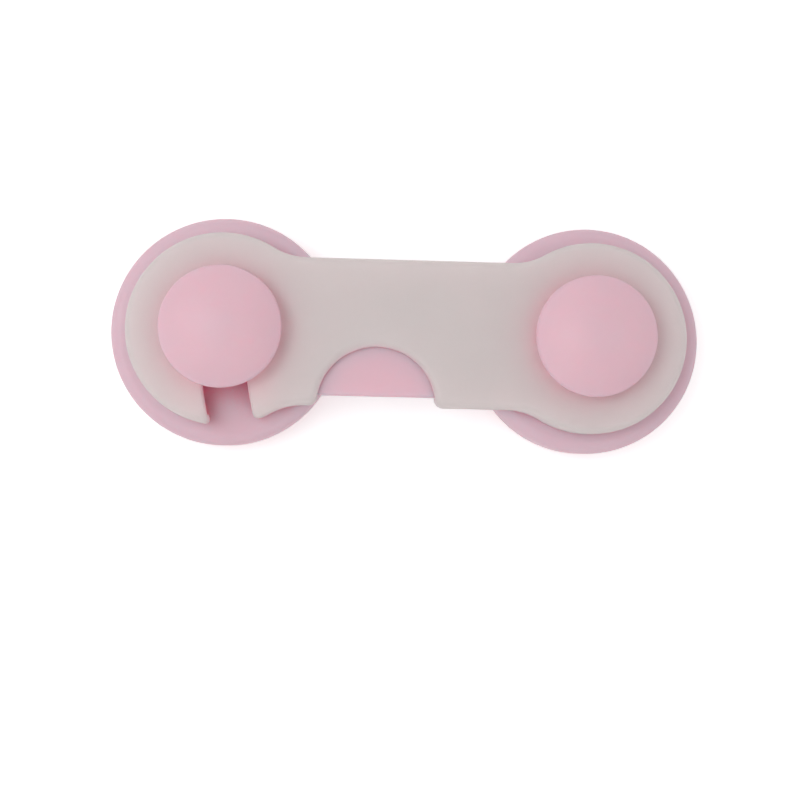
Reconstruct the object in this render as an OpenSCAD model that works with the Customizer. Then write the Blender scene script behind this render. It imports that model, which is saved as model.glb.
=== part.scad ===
// Cabinet safety lock: a flat arm turns on one round stick-on base and latches over the post of another.
// X runs along the lock, from the latch end to the pivot end, and Z points away from the door.
// Z = 0 is the sticky face of the pads, and X = Y = 0 is midway between the two posts.

/* [Layout] */
// Distance between the latch post and the pivot post
post_spacing = 46.2; // [42:0.1:60]

/* [Pads] */
// Diameter of the foam pad under each base
pad_d = 26; // [22:0.5:27]
// Thickness of the foam pads
pad_t = 1; // [0.5:0.1:2]

/* [Bases] */
// Diameter of each round base
base_d = 29; // [27:0.5:40]
// Radius of the rounded upper edge of a base
base_edge_r = 1.5; // [0.5:0.1:2.5]
// Thickness of the top wall of a base
base_top_t = 1.2; // [1.2:0.1:2]
// Thickness of the plate that closes a base from below
plate_t = 0.8; // [0.5:0.1:1.5]
// Least width of the ledge in the base that the plate seats on
plate_ledge = 0.5; // [0.3:0.1:0.9]

/* [Posts] */
// Wall of the hollow post around the button's stem
post_wall = 1.1; // [0.9:0.05:1.6]
// How far the post's spigot is stepped in where it passes through the base
post_shoulder = 0.4; // [0.3:0.05:0.5]
// How far the flange that keeps the arm down stands out from the post
flange_lip = 2.05; // [1.2:0.05:2.2]
// Thickness of that flange
flange_t = 0.8; // [0.6:0.1:1.2]
// Wall of the cup on the flange that holds the spring
cup_wall = 0.7; // [0.5:0.05:0.9]
// How far the cup reaches up inside the button head
cup_overlap = 0.2; // [0.1:0.05:0.5]

/* [Arm] */
// Thickness of the arm
arm_t = 4; // [3.4:0.1:6]
// Diameter of the arm's round ends
arm_end_d = 24; // [21:0.1:26]
// Width of the bar between the ends
bar_w = 18.4; // [15:0.2:20]
// Radius that blends each round end into the bar
blend_r = 8; // [3:0.5:12]
// Thickness of the arm's outer wall
arm_wall = 1.2; // [0.8:0.1:1.8]
// Thickness of the arm's top skin
arm_skin = 1.5; // [1:0.1:2]
// Wall of the hub and of the saddle that the posts run in
seat_wall = 1.6; // [1.2:0.1:2]
// How far the saddle reaches from the latch post towards the slot's mouth
saddle_reach = 6; // [4:0.1:7.5]

/* [Thumb notch] */
// Radius of the notch in the bar's lower edge
notch_r = 7.45; // [5:0.05:8.5]
// Place of the notch along the bar
notch_x = -3.8; // [-5:0.1:5]
// Rounding of the notch's two corners
notch_corner_r = 1.2; // [0.4:0.1:1.6]

/* [Core] */
// Radius of the hollow that the core leaves around each post
core_end_r = 9; // [8.6:0.1:9.8]
// Distance from a post to the core's blunt ends
core_set_back = 6.5; // [6:0.1:8]
// Distance between the two stakes that hold the core
stake_spacing = 16; // [12:0.5:20]
// Distance of the stakes from the bar's upper edge
stake_inset = 5.5; // [4.6:0.1:7]
// Diameter of a stake
stake_d = 3; // [2:0.1:3.4]
// How far the melted head of a stake stands out all round
stake_lip = 0.8; // [0.4:0.1:1]
// Thickness of that head
stake_head_t = 0.8; // [0.5:0.1:1]

/* [Buttons] */
// Diameter of the button heads
button_d = 15; // [14:0.1:18]
// Height of the straight rim of a head
button_rim_h = 0.9; // [0.6:0.1:1.6]
// Thickness of the crown over the spring
button_crown_t = 1.4; // [1.2:0.1:2]
// How far a button travels when it is pressed
button_travel = 1.8; // [1.2:0.1:2.4]
// Wall of the stem around its screw
stem_wall = 0.5; // [0.4:0.05:0.7]

/* [Springs] */
// Diameter of the spring wire
spring_wire_d = 0.4; // [0.3:0.05:0.5]
// Turns of each spring
spring_turns = 3; // [2:1:3]
// Gap between a stem and the spring around it
spring_gap = 0.9; // [0.5:0.05:1]

/* [Catch] */
// Thickness of the catch leaf
leaf_t = 0.3; // [0.2:0.05:0.5]
// Width of the leaf's steel on each side of its eye
leaf_side_w = 1.8; // [1.2:0.1:2]
// Distance from the latch post to the screw that holds the leaf
leaf_root = 8.5; // [7.5:0.1:9]
// How far the leaf runs on past that screw
leaf_tail = 1.8; // [1.7:0.1:2]
// Width of the lip that stops the arm
lip_w = 4.8; // [3:0.1:5.2]
// How far the lip reaches up into the arm
lip_engage = 1.2; // [0.6:0.1:1.5]
// How far the lip leans back over its height
lip_lean = 1.3; // [0.6:0.1:1.6]

/* [Screws and washers] */
// Diameter of the shank of a button screw
screw_d = 1.9; // [1.6:0.05:2.2]
// Length of a button screw under its head
screw_len = 6; // [4:0.5:8]
// Diameter of the head of a button screw
screw_head_d = 4.2; // [3.6:0.1:4.6]
// Height of that head
screw_head_h = 1.2; // [1:0.1:1.6]
// Diameter of a washer
washer_d = 7; // [6:0.1:8]
// Thickness of a washer
washer_t = 0.5; // [0.3:0.05:0.8]
// Diameter of the shank of the catch screw
catch_screw_d = 1.5; // [1.2:0.05:1.7]
// Diameter of the head of the catch screw
catch_head_d = 3.2; // [2.6:0.1:3.4]
// Height of that head
catch_head_h = 0.9; // [0.6:0.05:1.2]
// Width of the cross cut in every screw head
cross_w = 0.6; // [0.4:0.05:0.8]
// Depth of the cross
cross_depth = 0.5; // [0.3:0.05:0.6]

/* [Clearances] */
// Gap under the arm and over it
arm_gap = 0.2; // [0.1:0.05:0.3]
// Radial gap where the arm or a stem runs on a post
running_fit = 0.1; // [0.05:0.01:0.1]
// Gap between pieces that are fixed together
seat_gap = 0.05; // [0.02:0.01:0.1]
// Room left below a button head, a button's cavity and a button screw at full travel
press_gap = 0.3; // [0.2:0.05:0.4]
// Room around the spring, the cup, the flange and the catch leaf
free_gap = 0.4; // [0.3:0.05:0.5]

/* [Hidden] */
$fn = 96;

// Colours
pink = [0.87, 0.73, 0.77];
frosted = [0.85, 0.83, 0.82];
acetal = [0.93, 0.92, 0.9];
foam = [0.9, 0.9, 0.88];
steel = [0.72, 0.73, 0.75];
zinc = [0.78, 0.78, 0.76];

// How far a cut runs on past the face that it opens
cut = 1;
// How far a blending arc bites into the edges that it blends, so that the curves cross and don't just touch
bite = 0.01;

// The button's stem, and what runs on it
pilot_d = screw_d + 2 * seat_gap;
stem_d = pilot_d + 2 * stem_wall;
post_bore_d = stem_d + 2 * running_fit;
post_d = post_bore_d + 2 * post_wall;
spigot_d = post_d - 2 * post_shoulder;
flange_d = post_d + 2 * flange_lip;
slot_w = post_d + 2 * running_fit;

// Heights
recess_h = seat_gap + washer_t + screw_head_h + button_travel + press_gap;
base_h = plate_t + recess_h + base_top_t;
plate_z1 = pad_t + plate_t;
recess_z1 = plate_z1 + recess_h;
base_z1 = recess_z1 + base_top_t;
arm_z0 = base_z1 + arm_gap;
arm_z1 = arm_z0 + arm_t;
skin_z0 = arm_z1 - arm_skin;
flange_z0 = arm_z1 + arm_gap;
flange_z1 = flange_z0 + flange_t;
button_z0 = arm_z1 + button_travel + press_gap;
rim_z1 = button_z0 + button_rim_h;
cup_z1 = button_z0 + cup_overlap;
cavity_z1 = flange_z1 + button_travel + press_gap;
spring_z1 = cup_z1 + button_travel + press_gap;
button_z1 = spring_z1 + button_crown_t;
washer_z1 = recess_z1 - seat_gap;
washer_z0 = washer_z1 - washer_t;
screw_z0 = washer_z0 - screw_head_h;
leaf_z1 = washer_z0 - seat_gap;
leaf_z0 = leaf_z1 - leaf_t;
lip_z1 = arm_z0 + lip_engage;

// The arm's outline, its hub and its saddle
arm_end_r = arm_end_d / 2;
bar_half = bar_w / 2;
hub_d = slot_w + 2 * seat_wall;
saddle_back = slot_w / 2 + seat_wall;
slot_sweep = 2 * asin(arm_end_r / post_spacing);
core_t = arm_t - arm_skin - seat_gap;
core_half = bar_half - arm_wall - running_fit;
stake_y = bar_half - stake_inset;
stake_head_d = stake_d + 2 * stake_lip;

// The catch leaf, and the room for it in the base
leaf_eye_d = screw_head_d + 2 * press_gap;
leaf_w = leaf_eye_d + 2 * leaf_side_w;
leaf_end = leaf_root + leaf_tail;
lip_y = saddle_back + arm_gap;
lip_foot = lip_y + lip_lean;
recess_r = norm([lip_w / 2, lip_foot + leaf_t]) + free_gap;
channel_w = leaf_w + 2 * free_gap;
channel_end = leaf_end + free_gap;
plate_d = 2 * (norm([channel_w / 2, channel_end]) + plate_ledge);
catch_boss_d = catch_head_d + free_gap;
catch_screw_len = leaf_t + (recess_z1 - leaf_z1) + base_top_t / 2;

// The button's dome and cavities
button_r = button_d / 2;
dome_h = button_z1 - rim_z1;
dome_r = (button_r * button_r + dome_h * dome_h) / (2 * dome_h);
cavity_r = flange_d / 2 + free_gap;
spring_r = stem_d / 2 + spring_gap + spring_wire_d / 2;
cup_bore_r = spring_r + spring_wire_d / 2 + press_gap;
cup_r = cup_bore_r + cup_wall;
pocket_r = cup_r + free_gap;

// Radius of the dome of a screw head and length of its cross, as shares of the head's diameter
screw_dome_share = 0.75;
cross_share = 0.6;

// The spring's wire: rings of points along a helix, with a straight end at each side
spring_rings = 8;
spring_sides = 6;
wire_r = spring_wire_d / 2;
spring_low = flange_z1 + wire_r + seat_gap;
spring_high = spring_z1 - wire_r - seat_gap;
spring_steps = spring_rings * spring_turns;

module at_latch() {
    translate([-post_spacing / 2, 0, 0]) children();
}

module at_pivot() {
    translate([post_spacing / 2, 0, 0]) children();
}

// A disc or a drilled disc between two heights
module disc(d, z0, z1, hole_d = 0) {
    difference() {
        translate([0, 0, z0]) cylinder(d = d, h = z1 - z0);
        if (hole_d > 0) translate([0, 0, z0 - cut]) cylinder(d = hole_d, h = z1 - z0 + 2 * cut);
    }
}

// A foam pad, sticky on both faces
module pad() {
    color(foam) disc(pad_d, 0, pad_t);
}

// The plate that closes a base and carries its pad
module plate() {
    color(pink) disc(plate_d, pad_t, plate_z1);
}

// Half of a base's section, with the rounded upper edge
module base_profile() {
    square([base_d / 2 - base_edge_r, base_h]);
    square([base_d / 2, base_h - base_edge_r]);
    translate([base_d / 2 - base_edge_r, base_h - base_edge_r]) circle(base_edge_r);
}

// A base: a round cover with a seat for its plate, a recess above that and a hole for the post's spigot
module base_body() {
    difference() {
        translate([0, 0, pad_t]) rotate_extrude() base_profile();
        disc(plate_d + 2 * seat_gap, pad_t - cut, plate_z1);
        disc(2 * recess_r, pad_t - cut, recess_z1);
        disc(spigot_d + 2 * seat_gap, recess_z1 - cut, base_z1 + cut);
    }
}

// The catch leaf's channel in the latch base
module leaf_channel() {
    translate([-channel_w / 2, -channel_end, pad_t - cut])
        cube([channel_w, channel_end, recess_z1 - pad_t + cut]);
}

// The hole in the latch base's top wall that the lip comes up through
module lip_window() {
    window_w = lip_w + 2 * free_gap;
    translate([-window_w / 2, lip_y - free_gap, recess_z1 - cut])
        cube([window_w, lip_lean + leaf_t + 2 * free_gap, base_top_t + 2 * cut]);
}

module latch_base() {
    color(pink) at_latch() difference() {
        union() {
            difference() {
                base_body();
                leaf_channel();
            }
            translate([0, -leaf_root, 0]) disc(catch_boss_d, leaf_z1, recess_z1 + base_top_t / 2);
        }
        translate([0, -leaf_root, 0])
            disc(catch_screw_d + 2 * seat_gap, leaf_z1 - cut, leaf_z0 + catch_screw_len + seat_gap);
        lip_window();
    }
}

module pivot_base() {
    color(pink) at_pivot() base_body();
}

// A hollow post: a spigot through the base, a neck for the arm, a flange over it and a cup for the spring
module post() {
    color(acetal) difference() {
        union() {
            disc(spigot_d, recess_z1, base_z1 + cut);
            disc(post_d, base_z1, flange_z0 + flange_t / 2);
            disc(flange_d, flange_z0, flange_z1);
            disc(2 * cup_r, flange_z0 + flange_t / 2, cup_z1);
        }
        disc(post_bore_d, recess_z1 - cut, flange_z1 + cut);
        disc(2 * cup_bore_r, flange_z1, cup_z1 + cut);
    }
}

// The arm seen from above: two round ends and a bar, blended by concave fillets
module arm_outline(end_r, half_w, fillet_r) {
    fillet_x = sqrt(pow(end_r + fillet_r, 2) - pow(half_w + fillet_r, 2));
    square([post_spacing, 2 * half_w], center = true);
    for (side = [-1, 1]) translate([side * post_spacing / 2, 0]) {
        circle(end_r);
        for (edge = [-1, 1]) {
            centre = [-side * fillet_x, edge * (half_w + fillet_r)];
            difference() {
                polygon([[0, 0], centre, [centre.x, edge * half_w]]);
                translate(centre) circle(fillet_r + bite);
            }
        }
    }
}

// The slot in the latch end: an arc about the pivot, from the post out past the arm's lower edge
module latch_slot() {
    reach = 2 * post_spacing;
    translate([-post_spacing / 2, 0]) circle(d = slot_w);
    translate([post_spacing / 2, 0]) intersection() {
        difference() {
            circle(post_spacing + slot_w / 2);
            circle(post_spacing - slot_w / 2);
        }
        polygon([[0, 0], [-reach, 0], [-reach * cos(slot_sweep), -reach * sin(slot_sweep)]]);
    }
}

// The thumb notch with its two rounded corners
module thumb_notch() {
    corner_x = sqrt(pow(notch_r + notch_corner_r, 2) - pow(notch_corner_r, 2));
    translate([notch_x, -bar_half]) {
        circle(notch_r);
        for (side = [-1, 1]) difference() {
            polygon([
                [0, -cut], [0, 0], [side * corner_x, notch_corner_r], [side * corner_x, 0],
                [side * corner_x, -cut]
            ]);
            translate([side * corner_x, notch_corner_r]) circle(notch_corner_r + bite);
        }
    }
}

module at_stakes() {
    for (side = [-1, 1]) translate([side * stake_spacing / 2, stake_y, 0]) children();
}

// The arm: a hollow moulding, open below, with a hub, a saddle for the latch post and stakes for the core
module arm_shell() {
    color(frosted) difference() {
        union() {
            difference() {
                translate([0, 0, arm_z0]) linear_extrude(arm_t)
                    arm_outline(arm_end_r, bar_half, blend_r);
                translate([0, 0, arm_z0 - cut]) linear_extrude(arm_t - arm_skin + cut)
                    arm_outline(arm_end_r - arm_wall, bar_half - arm_wall, blend_r + arm_wall);
            }
            at_pivot() disc(hub_d, arm_z0, skin_z0 + arm_skin / 2);
            at_latch() translate([-hub_d / 2, -saddle_reach, arm_z0])
                cube([hub_d, saddle_reach + saddle_back, arm_t - arm_skin / 2]);
            at_stakes() {
                disc(stake_d, arm_z0, skin_z0 + arm_skin / 2);
                disc(stake_head_d, arm_z0, arm_z0 + stake_head_t);
            }
        }
        at_pivot() disc(slot_w, arm_z0 - cut, arm_z1 + cut);
        translate([0, 0, arm_z0 - cut]) linear_extrude(arm_t + 2 * cut) {
            latch_slot();
            thumb_notch();
        }
    }
}

// The stiffening bar inside the arm, which shows in the thumb notch
module arm_core() {
    color(pink) difference() {
        translate([0, 0, arm_z0]) linear_extrude(core_t) difference() {
            square([post_spacing - 2 * core_set_back, 2 * core_half], center = true);
            for (side = [-1, 1]) translate([side * post_spacing / 2, 0]) circle(core_end_r);
        }
        at_stakes() {
            disc(stake_d + 2 * seat_gap, arm_z0 - cut, arm_z1);
            disc(stake_head_d + 2 * seat_gap, arm_z0 - cut, arm_z0 + stake_head_t + seat_gap);
        }
    }
}

// A button: a domed head, hollow over the flange and the cup, on a stem drilled for its screw
module button() {
    color(pink) difference() {
        union() {
            difference() {
                intersection() {
                    disc(button_d, button_z0, button_z1 + cut);
                    translate([0, 0, button_z1 - dome_r]) sphere(dome_r);
                }
                disc(2 * cavity_r, button_z0 - cut, cavity_z1);
                disc(2 * pocket_r, button_z0 - cut, spring_z1);
            }
            disc(stem_d, washer_z1, spring_z1 + button_crown_t / 2);
        }
        disc(pilot_d, washer_z1 - cut, screw_z0 + screw_head_h + screw_len + seat_gap);
    }
}

function helix_point(step) =
    let (share = step / spring_steps, turn = 360 * spring_turns * share)
    [spring_r * cos(turn), spring_r * sin(turn), spring_low + (spring_high - spring_low) * share];

// The wire's middle line, run on straight by one wire diameter at each end
function wire_end(step, side) =
    helix_point(step) + side * spring_wire_d * [0, cos(360 * spring_turns * step / spring_steps), 0];

wire_line = concat(
    [wire_end(0, -1)], [for (step = [0:spring_steps]) helix_point(step)], [wire_end(spring_steps, 1)]
);
wire_last = len(wire_line) - 1;

// Steps along the wire that lie at least half a turn apart are tested against each other
spring_least_gap = min([
    for (low = [0:wire_last]) for (high = [low + spring_rings / 2:1:wire_last])
        norm(wire_line[high] - wire_line[low]) - spring_wire_d
]);
echo(str("Least gap of a spring to itself, in mm: ", spring_least_gap));

function wire_turn(index) =
    360 * spring_turns * max(0, min(spring_steps, index - 1)) / spring_steps;

function wire_ring(index) = [
    for (side = [0:spring_sides - 1])
        let (around = 360 * side / spring_sides, out = wire_r * cos(around))
        wire_line[index] + [out * cos(wire_turn(index)), out * sin(wire_turn(index)), wire_r * sin(around)]
];

// A compression spring between the flange and the button's crown
module spring() {
    points = [for (index = [0:wire_last]) each wire_ring(index)];
    walls = [
        for (index = [0:wire_last - 1]) for (side = [0:spring_sides - 1])
            let (
                here = index * spring_sides, next = here + spring_sides,
                other = (side + 1) % spring_sides
            )
            each [[here + side, here + other, next + other], [here + side, next + other, next + side]]
    ];
    last = wire_last * spring_sides;
    ends = [
        for (side = [1:spring_sides - 2])
            each [[0, side + 1, side], [last, last + side, last + side + 1]]
    ];
    color(steel) polyhedron(points, concat(walls, ends));
}

module washer() {
    color(zinc) disc(washer_d, washer_z0, washer_z1, screw_d + 2 * running_fit);
}

// A pan-head screw, driven upwards: its head's face is at z0 and its shank stands on the head
module screw(d, length, head_d, head_h, z0) {
    dome = head_d * screw_dome_share;
    cross_l = head_d * cross_share;
    color(zinc) difference() {
        union() {
            intersection() {
                disc(head_d, z0, z0 + head_h);
                translate([0, 0, z0 + dome]) sphere(dome);
            }
            disc(d, z0 + head_h / 2, z0 + head_h + length);
        }
        for (turn = [0, 90]) rotate([0, 0, turn])
            translate([-cross_l / 2, -cross_w / 2, z0 - cut]) cube([cross_l, cross_w, cross_depth + cut]);
    }
}

module button_screw() {
    screw(screw_d, screw_len, screw_head_d, screw_head_h, screw_z0);
}

// The catch: a spring-steel leaf with an eye around the button's screw and a leaning lip behind the saddle
module catch_leaf() {
    color(steel) at_latch() {
        difference() {
            translate([0, 0, leaf_z0]) linear_extrude(leaf_t) {
                circle(d = leaf_w);
                translate([-leaf_w / 2, -leaf_end]) square([leaf_w, leaf_end]);
                translate([-lip_w / 2, 0]) square([lip_w, lip_foot + leaf_t]);
            }
            disc(leaf_eye_d, leaf_z0 - cut, leaf_z1 + cut);
            translate([0, -leaf_root, 0])
                disc(catch_screw_d + 2 * running_fit, leaf_z0 - cut, leaf_z1 + cut);
        }
        translate([-lip_w / 2, 0, 0]) rotate([90, 0, 90]) linear_extrude(lip_w)
            polygon([
                [lip_foot, leaf_z0], [lip_foot + leaf_t, leaf_z0],
                [lip_y + leaf_t, lip_z1], [lip_y, lip_z1]
            ]);
    }
}

module catch_screw() {
    at_latch() translate([0, -leaf_root, 0])
        screw(catch_screw_d, catch_screw_len, catch_head_d, catch_head_h, leaf_z0 - catch_head_h);
}

at_latch() pad();  // latch_pad
at_pivot() pad();  // pivot_pad
at_latch() plate();  // latch_plate
at_pivot() plate();  // pivot_plate
latch_base();
pivot_base();
at_latch() post();  // latch_post
at_pivot() post();  // pivot_post
arm_shell();
arm_core();
at_latch() button();  // latch_button
at_pivot() button();  // pivot_button
at_latch() spring();  // latch_spring
at_pivot() spring();  // pivot_spring
at_latch() washer();  // latch_washer
at_pivot() washer();  // pivot_washer
at_latch() button_screw();  // latch_screw
at_pivot() button_screw();  // pivot_screw
catch_leaf();
catch_screw();
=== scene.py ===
import math

import bmesh
import bpy
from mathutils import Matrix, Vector, kdtree, noise


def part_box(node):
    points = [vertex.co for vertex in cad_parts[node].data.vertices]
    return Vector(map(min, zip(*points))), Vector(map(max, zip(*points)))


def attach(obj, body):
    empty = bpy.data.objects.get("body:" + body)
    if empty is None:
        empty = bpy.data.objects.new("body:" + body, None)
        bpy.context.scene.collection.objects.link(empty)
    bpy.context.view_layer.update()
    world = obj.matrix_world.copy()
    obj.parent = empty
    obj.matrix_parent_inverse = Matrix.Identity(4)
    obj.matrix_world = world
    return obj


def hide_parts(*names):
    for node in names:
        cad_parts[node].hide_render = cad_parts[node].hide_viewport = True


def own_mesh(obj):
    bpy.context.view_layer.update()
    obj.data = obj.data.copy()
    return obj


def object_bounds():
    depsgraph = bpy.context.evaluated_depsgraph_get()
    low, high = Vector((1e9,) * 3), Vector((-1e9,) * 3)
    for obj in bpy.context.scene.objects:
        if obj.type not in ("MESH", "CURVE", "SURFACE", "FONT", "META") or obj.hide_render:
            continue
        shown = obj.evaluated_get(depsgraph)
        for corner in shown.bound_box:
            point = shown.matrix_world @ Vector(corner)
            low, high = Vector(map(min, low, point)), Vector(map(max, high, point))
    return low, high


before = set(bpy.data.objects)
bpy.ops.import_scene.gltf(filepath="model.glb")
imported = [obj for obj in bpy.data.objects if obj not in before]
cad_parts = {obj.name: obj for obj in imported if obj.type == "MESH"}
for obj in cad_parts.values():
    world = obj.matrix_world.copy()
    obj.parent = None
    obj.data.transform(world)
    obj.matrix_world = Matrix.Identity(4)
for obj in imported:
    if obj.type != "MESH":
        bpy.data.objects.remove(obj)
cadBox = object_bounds()
mm = 0.001
tiny = 0.002 * mm  # lengths that differ by less count as equal
weld = tiny / 4  # corners nearer than this become one
overCut = 1 * mm  # how far a cutter runs on past the face that it opens
scene = bpy.context.scene
scene.view_settings.view_transform = "Standard"


def middle(node):
    low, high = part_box(node)
    return (low + high) / 2


latchX = middle("latch_base").x
pivotX = middle("pivot_base").x

# Camera: nearly straight down on the lock, from a hand's length away
photoCamera = {
    "place": (-7.34, -14.72, 177.63),  # mm
    "turn": (2.13, -2.28, 1.33),  # degrees about x, y and z
    "focal": 60.59,  # mm
    "sensor": 36,  # mm
    "nearest": 10,  # mm, what is nearer isn't drawn
}


def makeCamera():
    place = [value * mm for value in photoCamera["place"]]
    turn = [math.radians(value) for value in photoCamera["turn"]]
    bpy.ops.object.camera_add(location=place, rotation=turn)
    camera = bpy.context.object
    camera.data.lens = photoCamera["focal"]
    camera.data.sensor_width = photoCamera["sensor"]
    camera.data.clip_start = photoCamera["nearest"] * mm
    scene.camera = camera
    print("camera at", photoCamera["place"], "mm")


# Materials

def hexLinear(code):
    shares = [int(code[i:i + 2], 16) / 255 for i in (1, 3, 5)]
    linear = [s / 12.92 if s <= 0.04045 else ((s + 0.055) / 1.055) ** 2.4 for s in shares]
    return (*linear, 1.0)


def fillNode(material, node, settings=None, links=None):
    for key, value in (settings or {}).items():
        if isinstance(key, int) or key in node.inputs:
            node.inputs[key].default_value = value
        else:
            setattr(node, key, value)
    for key, socket in (links or {}).items():
        material.node_tree.links.new(socket, node.inputs[key])
    return node


def addNode(material, kind, settings=None, links=None):
    return fillNode(material, material.node_tree.nodes.new(kind), settings, links)


def newMaterial(name):
    material = bpy.data.materials.new(name)
    material.use_nodes = True
    shader = material.node_tree.nodes["Principled BSDF"]
    return material, shader


# Pink polypropylene, injection moulded in a vapour-blasted tool:
# even pale pink with faint flow clouding, a soft satin sheen, light that sinks in a little, and painted red
# shade in gaps and corners
pinkLook = {
    "deep": "#E4BECC",
    "pale": "#EBC8D4",
    "paintedGapShade": "#FF7A9C",  # painted red shade, where other faces stand close around
    "gap": 8 * mm,  # how near another face has to be to enclose this one
    "gapShares": (0.2, 0.5),  # open share of the view, where the painted shade is full and where it ends
    "cloud": 9 * mm,
    "cloudRoughness": 0.45,
    "grain": 0.32 * mm,  # real grain is near 0.05 mm, drawn coarser so that it shows
    "grainDepth": 0.012 * mm,
    "roughness": 0.5,
    "glossSpread": 0.05,
    "ior": 1.49,
    "sink": 6 * mm,  # how far red light spreads
    "sinkShares": (1.0, 0.18, 0.22),  # of that, for red, green and blue
    "sinkWeight": 0.9,
}

# Natural polypropylene with no pigment, moulded with a frosted face:
# cloudy grey-white and matt, milky inside, and painted pinker in gaps, a painted shade that stands in for the
# light that comes off the pink pieces
frostedLook = {
    "deep": "#D9CECD",
    "pale": "#DFD4D3",
    # painted pink shade in gaps
    "paintedGapShade": "#FAD2DC",
    "gap": 8 * mm,
    "gapShares": (0.2, 0.95),
    "cloud": 7 * mm,
    "cloudRoughness": 0.5,
    "grain": 0.4 * mm,  # real frosting is near 0.1 mm, drawn coarser so that it shows
    "grainDepth": 0.015 * mm,
    "roughness": 0.55,
    "glossSpread": 0.06,
    "ior": 1.49,
    "sink": 5 * mm,
    "sinkShares": (1.0, 0.75, 0.78),
    "sinkWeight": 1.0,
}

gapRays = 8  # that feel for enclosing faces at each point
grainStrength = 0.5  # share of the grain's depth that shows in the shading


def paintRedShadeInGaps(material, look, colour):
    # painted shade: gaps and corners get a redder colour than open faces, standing in for light that has been
    # through pink plastic and keeps its red
    openness = addNode(material, "ShaderNodeAmbientOcclusion", {"samples": gapRays, "Distance": look["gap"]})
    least, most = look["gapShares"]
    paintedShadeShare = addNode(material, "ShaderNodeMapRange",
                     {"From Min": least, "From Max": most, "To Min": 1.0, "To Max": 0.0},
                     {"Value": openness.outputs["AO"]})
    return addNode(material, "ShaderNodeMix", {"data_type": "RGBA", 7: hexLinear(look["paintedGapShade"])},
                   {0: paintedShadeShare.outputs["Result"], 6: colour.outputs[2]})


def makeMoulded(name, look):
    # both plastics: clouded colour, fine grain, an uneven soft gloss, light that sinks in, and painted red
    # shade in gaps
    material, shader = newMaterial(name)
    place = addNode(material, "ShaderNodeTexCoord").outputs["Object"]
    cloud = addNode(material, "ShaderNodeTexNoise",
                    {"Scale": 1 / look["cloud"], "Detail": 3.0, "Roughness": look["cloudRoughness"]},
                    {"Vector": place})
    colour = addNode(material, "ShaderNodeMix",
                     {"data_type": "RGBA", 6: hexLinear(look["deep"]), 7: hexLinear(look["pale"])},
                     {0: cloud.outputs["Fac"]})
    colour = paintRedShadeInGaps(material, look, colour)
    grain = addNode(material, "ShaderNodeTexNoise",
                    {"Scale": 1 / look["grain"], "Detail": 2.0}, {"Vector": place})
    bump = addNode(material, "ShaderNodeBump", {"Strength": grainStrength, "Distance": look["grainDepth"]},
                   {"Height": grain.outputs["Fac"]})
    spread = look["glossSpread"]
    gloss = addNode(material, "ShaderNodeMapRange",
                    {"To Min": look["roughness"] - spread, "To Max": look["roughness"] + spread},
                    {"Value": cloud.outputs["Fac"]})
    fillNode(material, shader,
             {"IOR": look["ior"], "subsurface_method": "BURLEY", "Subsurface Weight": look["sinkWeight"],
              "Subsurface Radius": look["sinkShares"], "Subsurface Scale": look["sink"]},
             {"Base Color": colour.outputs[2], "Roughness": gloss.outputs["Result"],
              "Normal": bump.outputs["Normal"]})
    return material


# White acetal, turned: milky white, smooth and a little waxy, with faint tool rings whose grooves are
# darkened with painted shade
acetalLook = {
    "white": "#ECEAE4",
    "paintedGrooveShade": "#E9E7E1",
    "ring": 0.35 * mm,
    "ringDepth": 0.002 * mm,
    "ringStrength": 0.4,
    "roughness": 0.32,
    "ior": 1.48,
    "sink": 0.8 * mm,
    "sinkWeight": 0.15,
}


def makeAcetal():
    look = acetalLook
    material, shader = newMaterial("turnedWhiteAcetal")
    place = addNode(material, "ShaderNodeTexCoord").outputs["Object"]
    perRing = math.tau / 20  # the scale at which a wave texture has one band in each unit
    rings = addNode(material, "ShaderNodeTexWave",
                    {"wave_type": "BANDS", "bands_direction": "Z", "Scale": perRing / look["ring"],
                     "Distortion": 0.6, "Detail": 1.0}, {"Vector": place})
    # painted shade: the darker tone lies in the rings' grooves
    colour = addNode(material, "ShaderNodeMix",
                     {"data_type": "RGBA", 6: hexLinear(look["paintedGrooveShade"]), 7: hexLinear(look["white"])},
                     {0: rings.outputs["Fac"]})
    bump = addNode(material, "ShaderNodeBump",
                   {"Strength": look["ringStrength"], "Distance": look["ringDepth"]},
                   {"Height": rings.outputs["Fac"]})
    fillNode(material, shader,
             {"Roughness": look["roughness"], "IOR": look["ior"],
              "Subsurface Weight": look["sinkWeight"], "Subsurface Scale": look["sink"]},
             {"Base Color": colour.outputs[2], "Normal": bump.outputs["Normal"]})
    return material


# Closed-cell polyethylene foam, die cut: soft white with open cells along the cut edge, their pits darkened
# with painted shade
foamLook = {
    "white": "#E8E7E2",
    "paintedCellPitShade": "#CFCDC6",
    "cell": 0.28 * mm,
    "cellDepth": 0.05 * mm,
    "cellStrength": 0.8,
    "cellOpen": 0.7,  # share of a cell's reach at which its wall begins
    "roughness": 0.85,
}


def makeFoam():
    look = foamLook
    material, shader = newMaterial("closedCellFoam")
    place = addNode(material, "ShaderNodeTexCoord").outputs["Object"]
    cells = addNode(material, "ShaderNodeTexVoronoi", {"Scale": 1 / look["cell"]}, {"Vector": place})
    walls = addNode(material, "ShaderNodeMapRange", {"From Max": look["cellOpen"]},
                    {"Value": cells.outputs["Distance"]})
    # painted shade: the darker colour sits in the cells' pits
    colour = addNode(material, "ShaderNodeMix",
                     {"data_type": "RGBA", 6: hexLinear(look["paintedCellPitShade"]), 7: hexLinear(look["white"])},
                     {0: walls.outputs["Result"]})
    bump = addNode(material, "ShaderNodeBump",
                   {"Strength": look["cellStrength"], "Distance": look["cellDepth"]},
                   {"Height": walls.outputs["Result"]})
    fillNode(material, shader, {"Roughness": look["roughness"]},
             {"Base Color": colour.outputs[2], "Normal": bump.outputs["Normal"]})
    return material


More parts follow.
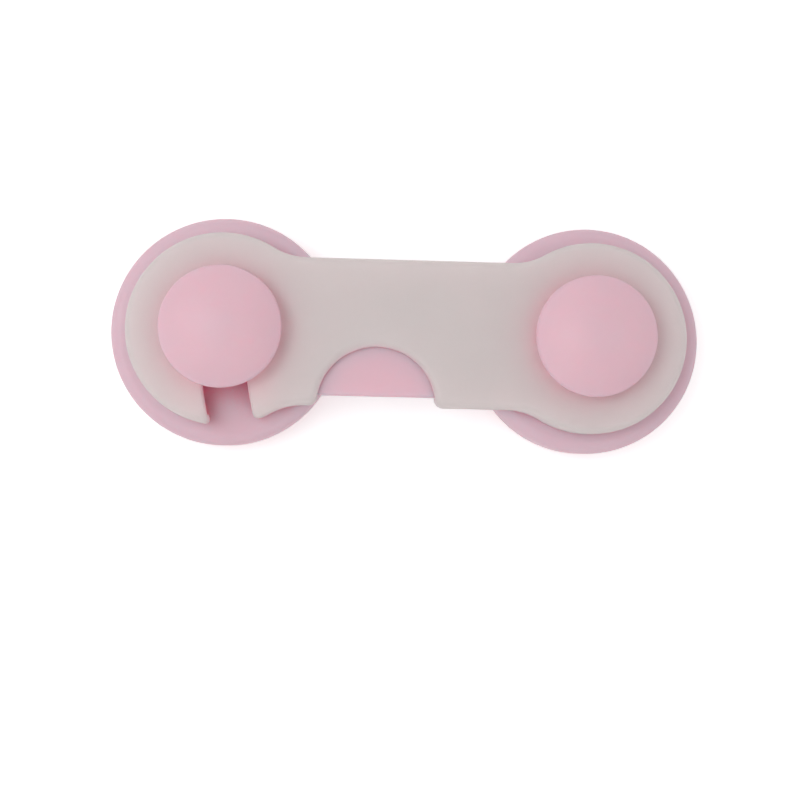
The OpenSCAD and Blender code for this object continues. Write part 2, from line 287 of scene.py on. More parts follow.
# Spring steel, cold rolled or drawn: grey and bright, with fine lines along the rolling direction
steelLook = {
    "bright": "#B9BBBF",
    "dull": "#9EA1A6",
    "line": 0.12 * mm,
    "stretch": 14,
    "roughness": (0.22, 0.4),  # in the dull and in the bright lines
}


def makeSteel():
    look = steelLook
    smooth, rough = look["roughness"]
    material, shader = newMaterial("rolledSpringSteel")
    place = addNode(material, "ShaderNodeTexCoord").outputs["Object"]
    drawn = addNode(material, "ShaderNodeMapping", {"Scale": (1, 1 / look["stretch"], 1)}, {"Vector": place})
    lines = addNode(material, "ShaderNodeTexNoise",
                    {"Scale": 1 / look["line"], "Detail": 2.0}, {"Vector": drawn.outputs["Vector"]})
    colour = addNode(material, "ShaderNodeMix",
                     {"data_type": "RGBA", 6: hexLinear(look["dull"]), 7: hexLinear(look["bright"])},
                     {0: lines.outputs["Fac"]})
    gloss = addNode(material, "ShaderNodeMapRange",
                    {"To Min": smooth, "To Max": rough}, {"Value": lines.outputs["Fac"]})
    fillNode(material, shader, {"Metallic": 1.0},
             {"Base Color": colour.outputs[2], "Roughness": gloss.outputs["Result"]})
    return material


# Bright zinc plate on steel: pale silver with a cool mottled spangle
zincLook = {
    "bright": "#CFD0CE",
    "dull": "#B4B6B8",
    "spangle": 0.5 * mm,
    "roughness": (0.26, 0.42),  # in the dull and in the bright spangles
}


def makeZinc():
    look = zincLook
    smooth, rough = look["roughness"]
    material, shader = newMaterial("brightZincPlate")
    place = addNode(material, "ShaderNodeTexCoord").outputs["Object"]
    spangle = addNode(material, "ShaderNodeTexNoise",
                      {"Scale": 1 / look["spangle"], "Detail": 3.0}, {"Vector": place})
    colour = addNode(material, "ShaderNodeMix",
                     {"data_type": "RGBA", 6: hexLinear(look["dull"]), 7: hexLinear(look["bright"])},
                     {0: spangle.outputs["Fac"]})
    gloss = addNode(material, "ShaderNodeMapRange",
                    {"To Min": smooth, "To Max": rough}, {"Value": spangle.outputs["Fac"]})
    fillNode(material, shader, {"Metallic": 1.0},
             {"Base Color": colour.outputs[2], "Roughness": gloss.outputs["Result"]})
    return material


# Modelling helpers

sharpAngle = math.radians(40)  # edges that turn more than this stay crisp


def near(a, b):
    return abs(a - b) < tiny


def openEdit(piece):
    bpy.ops.object.select_all(action="DESELECT")
    piece.select_set(True)
    bpy.context.view_layer.objects.active = piece
    bpy.ops.object.mode_set(mode="EDIT")
    bpy.ops.mesh.select_all(action="DESELECT")


def closeEdit():
    bpy.ops.object.mode_set(mode="OBJECT")


def pick(piece, kind, wanted):
    # selects the corners, edges or faces whose corners all pass
    bpy.ops.mesh.select_all(action="DESELECT")
    bpy.ops.mesh.select_mode(type=kind)
    mesh = bmesh.from_edit_mesh(piece.data)
    parts = {"VERT": mesh.verts, "EDGE": mesh.edges, "FACE": mesh.faces}[kind]
    for part in parts:
        corners = [part] if kind == "VERT" else part.verts
        if all(wanted(corner.co) for corner in corners):
            part.select_set(True)
    bmesh.update_edit_mesh(piece.data)


def placePrimitive(name):
    piece = bpy.context.object
    piece.name = name
    bpy.ops.object.transform_apply(location=True, rotation=True, scale=True)
    return piece


def cylinder(name, place, radius, height, sides):
    bpy.ops.object.select_all(action="DESELECT")
    bpy.ops.mesh.primitive_cylinder_add(vertices=sides, radius=radius, depth=height, location=place)
    return placePrimitive(name)


def block(name, low, high):
    bpy.ops.object.select_all(action="DESELECT")
    size = [b - a for a, b in zip(low, high)]
    place = [(a + b) / 2 for a, b in zip(low, high)]
    bpy.ops.mesh.primitive_cube_add(size=1, location=place, scale=size)
    return placePrimitive(name)


def drawLine(name, points):
    # one corner of a plane, drawn out from point to point
    bpy.ops.object.select_all(action="DESELECT")
    bpy.ops.mesh.primitive_plane_add(size=mm, location=points[0])
    piece = placePrimitive(name)
    bpy.ops.object.mode_set(mode="EDIT")
    bpy.ops.mesh.select_mode(type="VERT")
    bpy.ops.mesh.select_all(action="SELECT")
    bpy.ops.mesh.merge(type="CENTER")
    for here, there in zip(points, points[1:]):
        step = Vector(there) - Vector(here)
        bpy.ops.mesh.extrude_vertices_move(TRANSFORM_OT_translate={"value": step})
    return piece


def turned(name, axisX, profile, sides):
    # a section of (radius, height) points, spun about an upright axis
    piece = drawLine(name, [(axisX + r, 0, z) for r, z in profile])
    bpy.ops.mesh.select_all(action="SELECT")
    bpy.ops.mesh.spin(steps=sides, angle=math.tau, center=(axisX, 0, 0), axis=(0, 0, 1))
    bpy.ops.mesh.select_all(action="SELECT")
    bpy.ops.mesh.remove_doubles(threshold=weld)
    bpy.ops.mesh.normals_make_consistent(inside=False)
    closeEdit()
    return piece


def moveCorners(piece, before, after, height):
    # sends each selected corner from its point of one outline to the same point of the next
    tree = kdtree.KDTree(len(before))
    for i, point in enumerate(before):
        tree.insert((*point, 0), i)
    tree.balance()
    mesh = bmesh.from_edit_mesh(piece.data)
    for corner in mesh.verts:
        if corner.select:
            i = tree.find((corner.co.x, corner.co.y, 0))[1]
            corner.co = (*after[i], height)
    bmesh.update_edit_mesh(piece.data)


def stacked(name, levels):
    # closed outlines of equally many (x, y) points, one above the other, as one solid
    outline, height = levels[0]
    piece = drawLine(name, [(x, y, height) for x, y in outline])
    mesh = bmesh.from_edit_mesh(piece.data)
    bpy.ops.mesh.select_all(action="DESELECT")
    for corner in mesh.verts:
        corner.select_set(len(corner.link_edges) == 1)
    bmesh.update_edit_mesh(piece.data)
    bpy.ops.mesh.edge_face_add()
    bpy.ops.mesh.select_all(action="SELECT")
    bpy.ops.mesh.edge_face_add()
    for (before, low), (after, high) in zip(levels, levels[1:]):
        bpy.ops.mesh.extrude_region_move(TRANSFORM_OT_translate={"value": (0, 0, high - low)})
        moveCorners(piece, before, after, high)
    bpy.ops.mesh.select_all(action="SELECT")
    bpy.ops.mesh.remove_doubles(threshold=weld)
    bpy.ops.mesh.normals_make_consistent(inside=False)
    closeEdit()
    return piece


def prism(name, outline, low, high):
    return stacked(name, [(outline, low), (outline, high)])


def arc(centre, radius, start, end, steps):
    # points round a centre, from one angle to another, in degrees
    angles = [math.radians(start + (end - start) * i / steps) for i in range(steps + 1)]
    return [(centre[0] + radius * math.cos(a), centre[1] + radius * math.sin(a)) for a in angles]


def roundEdges(piece, height, size, segments):
    openEdit(piece)
    pick(piece, "EDGE", lambda p: near(p.z, height))
    bpy.ops.mesh.bevel(offset=size, segments=segments, affect="EDGES")
    closeEdit()


def joinTool(piece, tool, operation):
    change = piece.modifiers.new("change", "BOOLEAN")
    change.operation = operation
    change.solver = "EXACT"
    change.object = tool
    bpy.context.view_layer.objects.active = piece
    bpy.ops.object.modifier_apply(modifier=change.name)
    bpy.data.objects.remove(tool)


def cutAway(piece, tool):
    joinTool(piece, tool, "DIFFERENCE")


def drill(piece, place, radius, low, high, sides=48):
    # a round hole at (x, y), from one height to another
    cutAway(piece, cylinder("drill", (*place, (low + high) / 2), radius, high - low, sides))


def finishPiece(piece, node, body, material):
    bpy.ops.object.select_all(action="DESELECT")
    piece.select_set(True)
    bpy.context.view_layer.objects.active = piece
    bpy.ops.object.shade_smooth_by_angle(angle=sharpAngle)
    even = piece.modifiers.new("evenShading", "WEIGHTED_NORMAL")
    even.keep_sharp = True
    bpy.ops.object.modifier_apply(modifier=even.name)
    piece.data.materials.clear()
    piece.data.materials.append(material)
    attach(piece, body)
    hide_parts(node)


# Foam pads: die-cut discs whose edge swells a little between the door and the base
padSizes = {"sides": 160, "rows": 7, "swell": 0.12 * mm, "cells": 0.5 * mm, "ragged": 0.05 * mm}


def makePad(end, axisX, material):
    sizes = padSizes
    low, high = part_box(end + "_pad")
    radius = (high.x - low.x) / 2
    pad = cylinder(end + "Pad", (low + high) / 2, radius, high.z - low.z, sizes["sides"])
    openEdit(pad)
    pick(pad, "EDGE", lambda p: True)
    mesh = bmesh.from_edit_mesh(pad.data)
    for edge in mesh.edges:
        edge.select_set(not near(edge.verts[0].co.z, edge.verts[1].co.z))
    bmesh.update_edit_mesh(pad.data)
    bpy.ops.mesh.subdivide(number_cuts=sizes["rows"])
    mesh = bmesh.from_edit_mesh(pad.data)
    for corner in mesh.verts:
        up = 2 * (corner.co.z - low.z) / (high.z - low.z) - 1
        torn = sizes["ragged"] * (0.5 + 0.5 * noise.noise(corner.co / sizes["cells"]))
        inward = sizes["swell"] * up * up + torn
        out = Vector((corner.co.x - axisX, corner.co.y, 0)).normalized()
        corner.co -= out * inward
    bmesh.update_edit_mesh(pad.data)
    closeEdit()
    finishPiece(pad, end + "_pad", "bases", material)


# Base plates: thin discs that close the bases
plateSizes = {"sides": 128, "edge": 0.12 * mm, "edgeSteps": 2}


def makePlate(end, material):
    sizes = plateSizes
    low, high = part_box(end + "_plate")
    radius = (high.x - low.x) / 2
    plate = cylinder(end + "Plate", (low + high) / 2, radius, high.z - low.z, sizes["sides"])
    for height in (low.z, high.z):
        roundEdges(plate, height, sizes["edge"], sizes["edgeSteps"])
    finishPiece(plate, end + "_plate", "bases", material)


# Bases: round covers with a soft upper edge, a seat for the plate and a recess for the works
baseSizes = {
    "sides": 160,
    "edge": 1.5 * mm,
    "edgeSteps": 9,
    "foot": 0.25 * mm,
    "footSteps": 2,
    "seatGap": 0.05 * mm,
    "recess": 7.05 * mm,
    "topWall": 1.2 * mm,
    "spigotHole": 2.35 * mm,
    "channel": (4.6 * mm, 10.7 * mm),  # half width and reach of the catch leaf's channel
    "window": (2.8 * mm, 4.2 * mm, 6.6 * mm),  # half width, near and far edge of the lip's window
    "boss": 1.8 * mm,
    "pilot": 0.8 * mm,
}


def makeBase(end, axisX, material):
    sizes = baseSizes
    low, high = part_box(end + "_base")
    plateLow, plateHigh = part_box(end + "_plate")
    radius = (high.x - low.x) / 2
    seat = (plateHigh.x - plateLow.x) / 2 + sizes["seatGap"]
    recessTop = high.z - sizes["topWall"]
    base = cylinder(end + "Base", (low + high) / 2, radius, high.z - low.z, sizes["sides"])
    roundEdges(base, high.z, sizes["edge"], sizes["edgeSteps"])
    roundEdges(base, low.z, sizes["foot"], sizes["footSteps"])
    openEdit(base)
    pick(base, "FACE", lambda p: near(p.z, low.z))
    bpy.ops.mesh.inset(thickness=radius - sizes["foot"] - seat)
    bpy.ops.mesh.extrude_region_move(TRANSFORM_OT_translate={"value": (0, 0, plateHigh.z - plateLow.z)})
    bpy.ops.mesh.inset(thickness=seat - sizes["recess"])
    bpy.ops.mesh.extrude_region_move(TRANSFORM_OT_translate={"value": (0, 0, recessTop - plateHigh.z)})
    closeEdit()
    if end == "latch":
        cutCatchRoom(base, recessTop, plateHigh.z)
    drill(base, (axisX, 0), sizes["spigotHole"], recessTop - overCut, high.z + overCut)
    finishPiece(base, end + "_base", "bases", material)


def cutCatchRoom(base, recessTop, plateTop):
    # the catch leaf's channel with a boss for its screw, and the window for its lip
    sizes = baseSizes
    screwAt = middle("catch_screw").xy
    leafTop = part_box("catch_leaf")[0].z + leafSizes["thick"]
    half, reach = sizes["channel"]
    channel = block("channel", (latchX - half, -reach, plateTop - overCut), (latchX + half, 0, recessTop))
    drill(channel, screwAt, sizes["boss"], leafTop, recessTop + overCut)
    cutAway(base, channel)
    half, nearEdge, farEdge = sizes["window"]
    windowTop = recessTop + sizes["topWall"] + overCut
    cutAway(base, block("window", (latchX - half, nearEdge, recessTop - overCut),
                        (latchX + half, farEdge, windowTop)))
    drill(base, screwAt, sizes["pilot"], leafTop - overCut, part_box("catch_screw")[1].z)


# Posts: spigot, neck, flange that keeps the arm down, and a cup for the spring
postSizes = {
    "sides": 96,
    "bore": 1.6 * mm,
    "spigot": 2.3 * mm,
    "neck": 2.7 * mm,
    "armGap": 0.2 * mm,
    "flangeThick": 0.8 * mm,
    "flangeEdge": 0.2 * mm,
    "cup": 3.8 * mm,
    "cupBore": 3.1 * mm,
    "cupEdge": 0.12 * mm,
    "edgeSteps": 4,
    "foot": 0.1 * mm,
}


def makePost(end, axisX, material):
    sizes = postSizes
    low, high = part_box(end + "_post")
    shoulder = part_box(end + "_base")[1].z
    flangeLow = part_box("arm_shell")[1].z + sizes["armGap"]
    flangeTop = flangeLow + sizes["flangeThick"]
    flange = (high.x - low.x) / 2
    edge = sizes["flangeEdge"]
    cupEdge = sizes["cupEdge"]
    steps = sizes["edgeSteps"]
    foot = sizes["foot"]
    profile = [
        (sizes["bore"], low.z), (sizes["spigot"] - foot, low.z), (sizes["spigot"], low.z + foot),
        (sizes["spigot"], shoulder), (sizes["neck"], shoulder), (sizes["neck"], flangeLow),
        *arc((flange - edge, flangeLow + edge), edge, -90, 0, steps),
        *arc((flange - edge, flangeTop - edge), edge, 0, 90, steps),
        (sizes["cup"], flangeTop),
        *arc((sizes["cup"] - cupEdge, high.z - cupEdge), cupEdge, 0, 90, steps),
        *arc((sizes["cupBore"] + cupEdge, high.z - cupEdge), cupEdge, 90, 180, steps),
        (sizes["cupBore"], flangeTop), (sizes["bore"], flangeTop), (sizes["bore"], low.z),
    ]
    post = turned(end + "Post", axisX, profile, sizes["sides"])
    finishPiece(post, end + "_post", "bases", material)


# Arm: one frosted moulding, hollow below, with a slot for the latch post and a thumb notch
armSizes = {
    "barHalf": 9.2 * mm,
    "blend": 8 * mm,
    "wall": 1.2 * mm,
    "skin": 1.5 * mm,
    "slotHalf": 2.8 * mm,
    "mouthCorner": 0.5 * mm,
    "notchX": -3.8 * mm,
    "notch": 7.45 * mm,
    "notchCorner": 1.2 * mm,
    "hub": 4.4 * mm,
    "saddle": (4.4 * mm, -6 * mm, 4.4 * mm),  # half width, lower and upper end
    "stakes": ((-8 * mm, 3.7 * mm), (8 * mm, 3.7 * mm)),
    "stake": 1.5 * mm,
    "stakeHead": 2.3 * mm,
    "stakeHeadThick": 0.8 * mm,
    "topRound": 0.9 * mm,
    "slotRound": 0.3 * mm,
    "roundSteps": 8,
    "footRound": 0.15 * mm,
    "steps": {"end": 96, "blend": 10, "slotWall": 12, "slotEnd": 24, "corner": 8, "notch": 48},
}


def lowerAngle(fromPivot, fromLatch):
    # the angle, seen from the latch post, of the lower point at these distances from the two posts
    spacing = pivotX - latchX
    share = (spacing ** 2 + fromLatch ** 2 - fromPivot ** 2) / (2 * spacing * fromLatch)
    return -math.degrees(math.acos(share))


def bearing(here, there):
    return math.degrees(math.atan2(there[1] - here[1], there[0] - here[0]))


def armOutline(inset, slotInset, withCuts):
    # the arm's outline drawn in by inset, with its slot widened by slotInset
    sizes = armSizes
    low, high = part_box("arm_shell")
    endRadius = (high.y - low.y) / 2
    half = sizes["barHalf"]
    blend = sizes["blend"]
    endSteps = sizes["steps"]["end"]
    blendSteps = sizes["steps"]["blend"]
    rise = half + blend
    along = math.sqrt((endRadius + blend) ** 2 - rise ** 2)
    turn = math.degrees(math.atan2(rise, along))
    endRadius -= inset
    blend += inset
    latch = (latchX, 0)
    pivot = (pivotX, 0)
    outline = arc(pivot, endRadius, turn - 180, 180 - turn, endSteps)
    outline += arc((pivotX - along, rise), blend, -turn, -90, blendSteps)[1:]
    outline += arc((latchX + along, rise), blend, -90, turn - 180, blendSteps)
    if withCuts:
        outline += slotOutline(endRadius, slotInset, turn)
    else:
        outline += arc(latch, endRadius, turn, 360 - turn, endSteps)[1:]
    outline += arc((latchX + along, -rise), blend, 180 - turn, 90, blendSteps)[1:]
    if withCuts:
        outline += notchOutline(inset)
    outline += arc((pivotX - along, -rise), blend, 90, turn, blendSteps)[:-1]
    return outline


def slotOutline(endRadius, slotInset, turn):
    # round the latch end, in and out of the slot, which follows the arm's own swing about the pivot
    sizes = armSizes
    latch = (latchX, 0)
    pivot = (pivotX, 0)
    half = sizes["slotHalf"] + slotInset
    outer = pivotX - latchX + half
    inner = pivotX - latchX - half
    corner = sizes["mouthCorner"]
    steps = sizes["steps"]
    leftAt = lowerAngle(outer + corner, endRadius - corner)
    rightAt = lowerAngle(inner - corner, endRadius - corner)
    left = arc(latch, endRadius - corner, leftAt, leftAt, 1)[0]
    right = arc(latch, endRadius - corner, rightAt, rightAt, 1)[0]
    points = arc(latch, endRadius, turn, 360 + leftAt, steps["end"])[1:]
    points += arc(left, corner, leftAt, bearing(left, pivot), steps["corner"])[1:]
    points += arc(pivot, outer, bearing(pivot, left) + 360, 180, steps["slotWall"])[1:]
    points += arc(latch, half, 180, 0, steps["slotEnd"])[1:]
    points += arc(pivot, inner, 180, bearing(pivot, right) + 360, steps["slotWall"])[1:]
    points += arc(right, corner, bearing(pivot, right), rightAt, steps["corner"])[1:]
    points += arc(latch, endRadius, rightAt, -turn, steps["slotEnd"])[1:]
    return points


def notchOutline(inset):
    sizes = armSizes
    corner = sizes["notchCorner"]
    span = sizes["notch"] + corner
    reach = math.sqrt(span ** 2 - corner ** 2)
    lean = math.degrees(math.asin(corner / span))
    base = -sizes["barHalf"]
    left = (sizes["notchX"] - reach, base + corner)
    right = (sizes["notchX"] + reach, base + corner)
    steps = sizes["steps"]
    points = arc(left, corner - inset, -90, -lean, steps["corner"])
    points += arc((sizes["notchX"], base), sizes["notch"] + inset, 180 - lean, lean, steps["notch"])[1:]
    points += arc(right, corner - inset, 180 + lean, 270, steps["corner"])[1:]
    return points


def edgeInset(radius, depth):
    # how far a rounded edge stands back at a depth below the top
    if depth >= radius:
        return 0
    return radius - math.sqrt(radius ** 2 - (radius - depth) ** 2)


def armLevels(low, high):
    sizes = armSizes
    foot = sizes["footRound"]
    levels = [(armOutline(foot, foot, True), low), (armOutline(0, 0, True), low + foot)]
    for step in range(sizes["roundSteps"] + 1):
        depth = sizes["topRound"] * (1 - math.sin(math.pi / 2 * step / sizes["roundSteps"]))
        inset = edgeInset(sizes["topRound"], depth)
        slotInset = edgeInset(sizes["slotRound"], depth)
        levels.append((armOutline(inset, slotInset, True), high - depth))
    return levels


def makeArm(material):
    sizes = armSizes
    low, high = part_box("arm_shell")
    skinLow = high.z - sizes["skin"]
    below = low.z - 2 * overCut
    above = skinLow + overCut
    arm = stacked("armShell", armLevels(low.z, high.z))
    hollow = prism("hollow", armOutline(sizes["wall"], 0, False), low.z - overCut, skinLow)
    drill(hollow, (pivotX, 0), sizes["hub"], below, above)
    half, saddleLow, saddleHigh = sizes["saddle"]
    cutAway(hollow, block("saddle", (latchX - half, saddleLow, below), (latchX + half, saddleHigh, above)))
    for place in sizes["stakes"]:
        drill(hollow, place, sizes["stake"], below, above)
        drill(hollow, place, sizes["stakeHead"], below, low.z + sizes["stakeHeadThick"])
    cutAway(arm, hollow)
    drill(arm, (pivotX, 0), sizes["slotHalf"], low.z - overCut, high.z + overCut)
    finishPiece(arm, "arm_shell", "arm", material)


# Core: the pink bar inside the arm, held by two melted stakes
coreSizes = {
    "endHollow": 9 * mm,
    "endSteps": 24,
    "edge": 0.3 * mm,
    "edgeSteps": 3,
    "stakeHole": 1.55 * mm,
    "headHole": 2.35 * mm,
    "headDeep": 0.85 * mm,
}


def makeCore(material):
    sizes = coreSizes
    low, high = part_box("arm_core")
    hollow = sizes["endHollow"]
    steps = sizes["endSteps"]
    half = math.degrees(math.acos((pivotX - high.x) / hollow))  # half the angle of an end's hollow
    outline = [
        (low.x, low.y), (high.x, low.y),
        *arc((pivotX, 0), hollow, 180 + half, 180 - half, steps),
        (high.x, high.y), (low.x, high.y),
        *arc((latchX, 0), hollow, half, -half, steps),
    ]
    core = prism("armCore", outline, low.z, high.z)
    for height in (high.z, low.z):
        roundEdges(core, height, sizes["edge"], sizes["edgeSteps"])
    for place in armSizes["stakes"]:
        drill(core, place, sizes["stakeHole"], low.z - overCut, high.z + overCut)
        drill(core, place, sizes["headHole"], low.z - overCut, low.z + sizes["headDeep"])
    finishPiece(core, "arm_core", "arm", material)


# Buttons: domed heads, hollow over the flange and the spring cup, on a drilled stem
buttonSizes = {
    "sides": 144,
    "lift": 2.1 * mm,  # of the head above the arm
    "rim": 0.9 * mm,
    "domeSteps": 28,
    "domeRound": 0.8 * mm,
    "rimRound": 0.2 * mm,
    "roundSteps": 8,
    "cavity": (5.15 * mm, 1.0 * mm),  # radius and depth
    "pocket": (4.2 * mm, 2.3 * mm),
    "stem": 1.5 * mm,
    "pilot": (1.0 * mm, 5.55 * mm),
}


def makeButton(end, axisX, material):
    sizes = buttonSizes
    low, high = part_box(end + "_button")
    radius = (high.x - low.x) / 2
    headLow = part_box("arm_shell")[1].z + sizes["lift"]
    dome = high.z - headLow - sizes["rim"]
    domeRadius = (radius ** 2 + dome ** 2) / (2 * dome)
    domeZ = high.z - domeRadius
    soft = sizes["domeRound"]
    softRise = math.sqrt((domeRadius - soft) ** 2 - (radius - soft) ** 2)
    meet = math.degrees(math.atan2(softRise, radius - soft))
    edge = sizes["rimRound"]
    cavity, cavityDeep = sizes["cavity"]
    pocket, pocketDeep = sizes["pocket"]
    pilot, pilotDeep = sizes["pilot"]
    profile = [
        *arc((0, domeZ), domeRadius, 90, meet, sizes["domeSteps"]),
        *arc((radius - soft, domeZ + softRise), soft, meet, 0, sizes["roundSteps"])[1:],
        *arc((radius - edge, headLow + edge), edge, 0, -90, sizes["roundSteps"]),
        (cavity, headLow), (cavity, headLow + cavityDeep), (pocket, headLow + cavityDeep),
        (pocket, headLow + pocketDeep), (sizes["stem"], headLow + pocketDeep), (sizes["stem"], low.z),
        (pilot, low.z), (pilot, low.z + pilotDeep), (0, low.z + pilotDeep),
    ]
    profile[0] = (0, high.z)  # exactly on the axis
    button = turned(end + "Button", axisX, profile, sizes["sides"])
    finishPiece(button, end + "_button", end + "_button", material)


# Springs: three open turns of round wire
springSizes = {"wire": 0.4 * mm, "turns": 3, "ringsPerTurn": 40, "wireSides": 12}


def makeSpring(end, axisX, material):
    sizes = springSizes
    low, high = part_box(end + "_spring")
    wire = sizes["wire"] / 2
    wireLow = wire * math.sin(math.pi / 3)  # the frame's wire has six sides, so it lies a little lower
    mean = (high.x - low.x) / 2 - wire
    bpy.ops.object.select_all(action="DESELECT")
    bpy.ops.mesh.primitive_circle_add(vertices=sizes["wireSides"], radius=wire,
                                      location=(mean, 0, 0), rotation=(math.pi / 2, 0, 0))
    spring = placePrimitive(end + "Spring")
    wind = spring.modifiers.new("wind", "SCREW")
    wind.angle = math.tau
    wind.iterations = sizes["turns"]
    wind.screw_offset = (high.z - low.z - 2 * wireLow) / sizes["turns"]
    wind.steps = sizes["ringsPerTurn"]
    wind.render_steps = sizes["ringsPerTurn"]
    bpy.ops.object.modifier_apply(modifier=wind.name)
    spring.location = (axisX, 0, low.z + wireLow)
    bpy.ops.object.transform_apply(location=True, rotation=False, scale=False)
    openEdit(spring)
    bpy.ops.mesh.select_all(action="SELECT")
    bpy.ops.mesh.fill_holes(sides=sizes["wireSides"])
    bpy.ops.mesh.select_all(action="SELECT")
    bpy.ops.mesh.normals_make_consistent(inside=False)
    closeEdit()
    finishPiece(spring, end + "_spring", "bases", material)
    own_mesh(spring)


# Washers: stamped rings with softened edges
washerSizes = {"sides": 72, "hole": 1.05 * mm, "edge": 0.1 * mm, "edgeSteps": 3}


def makeWasher(end, axisX, material):
    sizes = washerSizes
    low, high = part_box(end + "_washer")
    outer = (high.x - low.x) / 2
    hole = sizes["hole"]
    edge = sizes["edge"]
    steps = sizes["edgeSteps"]
    profile = [
        (hole, low.z),
        *arc((outer - edge, low.z + edge), edge, -90, 0, steps),
        *arc((outer - edge, high.z - edge), edge, 0, 90, steps),
        (hole, high.z), (hole, low.z),
    ]
    washer = turned(end + "Washer", axisX, profile, sizes["sides"])
    finishPiece(washer, end + "_washer", end + "_button", material)


# Screws: pan heads with a cross, driven upwards
screwSizes = {
    "button": (1.2 * mm, 0.95 * mm),  # height of the head and radius of the shank
    "catch": (0.9 * mm, 0.75 * mm),
    "sides": 64,
    "domeShare": 0.75,
    "domeSteps": 12,
    "crossShare": 0.6,
    "crossWide": 0.6 * mm,
    "crossDeep": 0.5 * mm,
    "headEdge": 0.12 * mm,
    "pitch": 0.5 * mm,
    "threadDeep": 0.14 * mm,
    "tip": 0.2 * mm,
}


def makeScrew(name, node, body, kind, material):
    sizes = screwSizes
    headHigh, shank = sizes[kind]
    root = shank - sizes["threadDeep"]
    low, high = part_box(node)
    at = middle(node)
    head = (high.x - low.x) / 2
    dome = 2 * head * sizes["domeShare"]
    meet = math.degrees(math.acos(head / dome))
    edge = sizes["headEdge"]
    headTop = low.z + headHigh
    profile = [
        *arc((0, low.z + dome), dome, -90, -meet, sizes["domeSteps"]),
        (head, headTop - edge), (head - edge, headTop), (root, headTop),
    ]
    profile[0] = (0, low.z)  # exactly on the axis
    height = headTop
    while height + sizes["pitch"] < high.z - sizes["tip"]:
        profile.append((shank, height + sizes["pitch"] / 2))
        height += sizes["pitch"]
        profile.append((root, height))
    profile.append((root - sizes["threadDeep"], high.z))
    profile.append((0, high.z))
    screw = turned(name, at.x, profile, sizes["sides"])
    screw.location.y = at.y
    bpy.ops.object.transform_apply(location=True, rotation=False, scale=False)
    longHalf = head * sizes["crossShare"]
    shortHalf = sizes["crossWide"] / 2
    for halfX, halfY in ((longHalf, shortHalf), (shortHalf, longHalf)):
        cutAway(screw, block("cross", (at.x - halfX, at.y - halfY, low.z - overCut),
                             (at.x + halfX, at.y + halfY, low.z + sizes["crossDeep"])))
    finishPiece(screw, node, body, material)


# Catch leaf: a spring-steel strip with an eye, held at its tail, whose lip is bent up behind the arm
leafSizes = {
    "thick": 0.3 * mm,
    "eye": 2.4 * mm,
    "tailHole": 0.85 * mm,
    "tailCorner": 0.9 * mm,
    "cornerSteps": 6,
    "shoulderSteps": 16,
    "lipHalf": 2.4 * mm,
    "lean": 20.4,  # degrees past upright
    "bend": 0.35 * mm,
    "bendSteps": 10,
}


def makeLeaf(material):
    sizes = leafSizes
    low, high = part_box("catch_leaf")
    half = (high.x - low.x) / 2
    thick = sizes["thick"]
    lipHalf = sizes["lipHalf"]
    turn = math.radians(90 + sizes["lean"])
    bendTop = low.z + thick + sizes["bend"] * (1 - math.cos(turn))
    lipFoot = high.y - thick
    lipBack = lipFoot - (bendTop - low.z) * math.tan(math.radians(sizes["lean"]))
    bendY = lipBack - sizes["bend"] * math.sin(turn)
    shoulder = math.degrees(math.acos(lipHalf / half))
    corner = sizes["tailCorner"]
    outline = [
        *arc((latchX - half + corner, low.y + corner), corner, 180, 270, sizes["cornerSteps"]),
        *arc((latchX + half - corner, low.y + corner), corner, 270, 360, sizes["cornerSteps"]),
        *arc((latchX, 0), half, 0, shoulder, sizes["shoulderSteps"]),
        (latchX + lipHalf, bendY), (latchX - lipHalf, bendY),
        *arc((latchX, 0), half, 180 - shoulder, 180, sizes["shoulderSteps"]),
    ]
    stripTop = low.z + thick
    leaf = prism("catchLeaf", outline, low.z, stripTop)
    drill(leaf, (latchX, 0), sizes["eye"], low.z - overCut, stripTop + overCut)
    drill(leaf, middle("catch_screw").xy, sizes["tailHole"], low.z - overCut, stripTop + overCut)
    openEdit(leaf)
    pick(leaf, "FACE", lambda p: near(p.y, bendY))
    centre = (latchX, bendY, stripTop + sizes["bend"])
    bpy.ops.mesh.spin(steps=sizes["bendSteps"], angle=-turn, center=centre, axis=(1, 0, 0))
    reach = (high.z - bendTop + thick * math.cos(turn)) / math.sin(turn)
    bpy.ops.mesh.extrude_region_move(
        TRANSFORM_OT_translate={"value": (0, reach * math.cos(turn), reach * math.sin(turn))})
    bpy.ops.mesh.select_all(action="SELECT")
    bpy.ops.mesh.remove_doubles(threshold=tiny)
    bpy.ops.mesh.normals_make_consistent(inside=False)
    closeEdit()
    finishPiece(leaf, "catch_leaf", "bases", material)
    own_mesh(leaf)


# Stage: white floor and surround, one soft lamp from the left
stageLook = {
    "floorSize": 4.0,
    "floor": "#F2F2F2",
    "floorRoughness": 0.9,
    "floorDrop": 0.02 * mm,  # below the pads, so that the faces don't fight
    "floorGlow": 0.47,  # what the camera sees added, so that the floor reads white
    "surround": (0.88, 0.475),  # light level of the surround at the horizon and overhead
    "lampPlace": (-0.16, 0.02, 0.34),
    "lampSize": 0.16,
    "lampPower": 0.32,
}


def seenShare(material):
    # 1 for what the camera sees directly, in a reflection or through a clear piece
    path = addNode(material, "ShaderNodeLightPath")
    first = addNode(material, "ShaderNodeMath", {"operation": "MAXIMUM"},
                    {0: path.outputs["Is Camera Ray"], 1: path.outputs["Is Glossy Ray"]})
    return addNode(material, "ShaderNodeMath", {"operation": "MAXIMUM"},
                   {0: first.outputs["Value"], 1: path.outputs["Is Transmission Ray"]}).outputs["Value"]


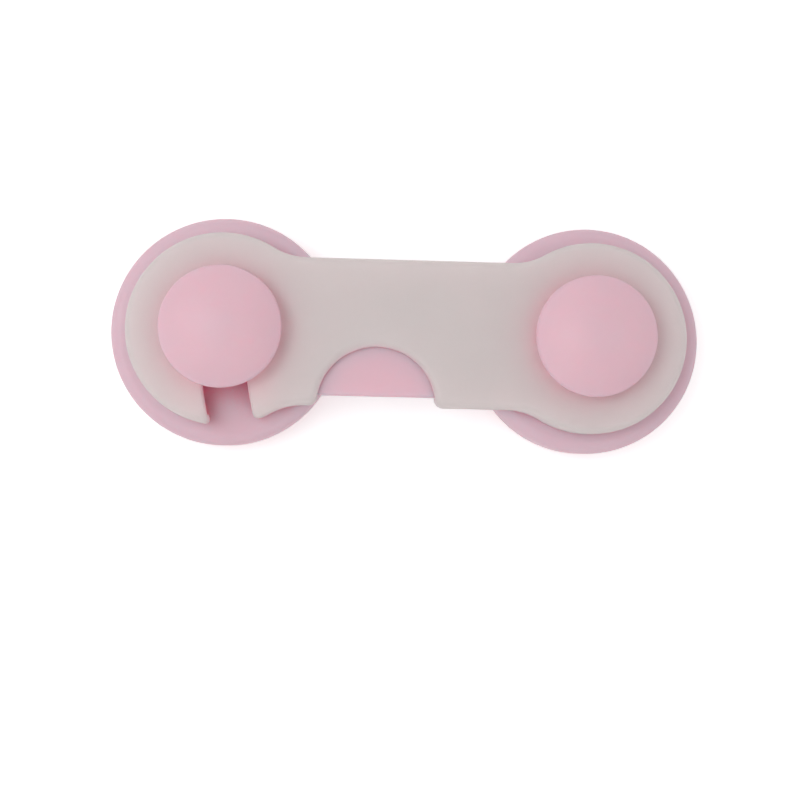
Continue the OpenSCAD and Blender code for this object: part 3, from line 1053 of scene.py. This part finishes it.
def makeStage():
    look = stageLook
    bpy.ops.object.select_all(action="DESELECT")
    bpy.ops.mesh.primitive_plane_add(size=look["floorSize"], location=(0, 0, cadBox[0].z - look["floorDrop"]))
    floor = bpy.context.object
    floor.name = "floor"
    material, shader = newMaterial("whiteStudioFloor")
    glow = addNode(material, "ShaderNodeMath", {"operation": "MULTIPLY", 1: look["floorGlow"]},
                   {0: seenShare(material)})
    white = (1, 1, 1, 1)
    fillNode(material, shader,
             {"Base Color": hexLinear(look["floor"]), "Roughness": look["floorRoughness"],
              "Emission Color": white}, {"Emission Strength": glow.outputs["Value"]})
    floor.data.materials.append(material)
    world = bpy.data.worlds.new("paleSurround")
    scene.world = world
    world.use_nodes = True
    background = world.node_tree.nodes["Background"]
    low, high = look["surround"]
    direction = addNode(world, "ShaderNodeTexCoord").outputs["Generated"]
    height = addNode(world, "ShaderNodeSeparateXYZ", None, {"Vector": direction}).outputs["Z"]
    sky = addNode(world, "ShaderNodeMapRange", {"To Min": low, "To Max": high}, {"Value": height})
    level = addNode(world, "ShaderNodeMapRange", {"To Max": 1.0},
                    {"Value": seenShare(world), "To Min": sky.outputs["Result"]})
    fillNode(world, background, {"Color": white}, {"Strength": level.outputs["Result"]})
    bpy.ops.object.light_add(type="AREA", location=look["lampPlace"])
    lamp = bpy.context.object
    lamp.name = "softLamp"
    lamp.data.size = look["lampSize"]
    lamp.data.energy = look["lampPower"]
    lamp.visible_camera = False
    lamp.rotation_euler = (-Vector(look["lampPlace"])).to_track_quat("-Z", "Y").to_euler()


makeCamera()
pink = makeMoulded("pinkPolypropylene", pinkLook)
frosted = makeMoulded("frostedNaturalPolypropylene", frostedLook)
acetal = makeAcetal()
foam = makeFoam()
steel = makeSteel()
zinc = makeZinc()
print("materials ready")

for end, axisX in (("latch", latchX), ("pivot", pivotX)):
    makePad(end, axisX, foam)
    makePlate(end, pink)
    makeBase(end, axisX, pink)
    makePost(end, axisX, acetal)
    makeButton(end, axisX, pink)
    makeSpring(end, axisX, steel)
    makeWasher(end, axisX, zinc)
    makeScrew(end + "Screw", end + "_screw", end + "_button", "button", zinc)
    print(end, "end built")

makeArm(frosted)
makeCore(pink)
print("arm built")
makeLeaf(steel)
makeScrew("catchScrew", "catch_screw", "bases", "catch", zinc)
print("catch built")
makeStage()
